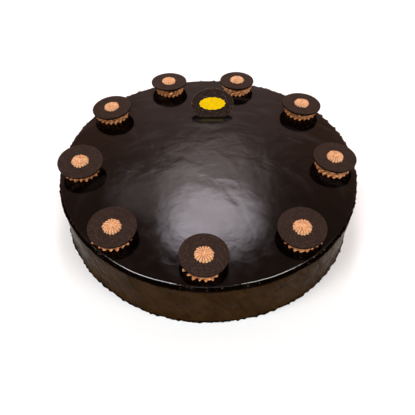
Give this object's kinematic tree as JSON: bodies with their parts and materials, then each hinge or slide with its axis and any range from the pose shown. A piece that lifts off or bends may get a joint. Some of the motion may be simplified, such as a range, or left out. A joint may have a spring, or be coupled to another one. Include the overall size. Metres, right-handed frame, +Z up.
{
  "type": "sachertorte cake",
  "caption": "Whole round chocolate cake with a mirror-dark poured glaze, a ring of piped nougat-cream rosettes topped with chocolate discs and small cream stars, and an upright oval plaque.",
  "frame": {"origin": "middle of the flat underside of the cake, on the surface that it stands on", "axes": "+Z up through the cake's middle; the front of the cake faces -Y, and the oval plaque stands towards +Y, facing the front"},
  "size_m": [0.2441, 0.244, 0.0637],
  "materials": {
    "glaze": "poured chocolate glaze, mirror gloss",
    "cream": "piped nougat buttercream, soft satin",
    "chocolate": "set dark chocolate, matte, finely speckled"
  },
  "bodies": {
    "root": {"cake": "glaze", "rosette_1": "cream", "rosette_2": "cream", "rosette_3": "cream", "rosette_4": "cream", "rosette_5": "cream", "rosette_6": "cream", "rosette_7": "cream", "rosette_8": "cream", "rosette_9": "cream", "disc_1": "chocolate", "disc_2": "chocolate", "disc_3": "chocolate", "disc_4": "chocolate", "disc_5": "chocolate", "disc_6": "chocolate", "disc_7": "chocolate", "disc_8": "chocolate", "disc_9": "chocolate", "star_1": "cream", "star_2": "cream", "star_3": "cream", "star_4": "cream", "star_5": "cream", "star_6": "cream", "star_7": "cream", "star_8": "cream", "star_9": "cream", "plaque": "chocolate"}
  },
  "joints": []
}
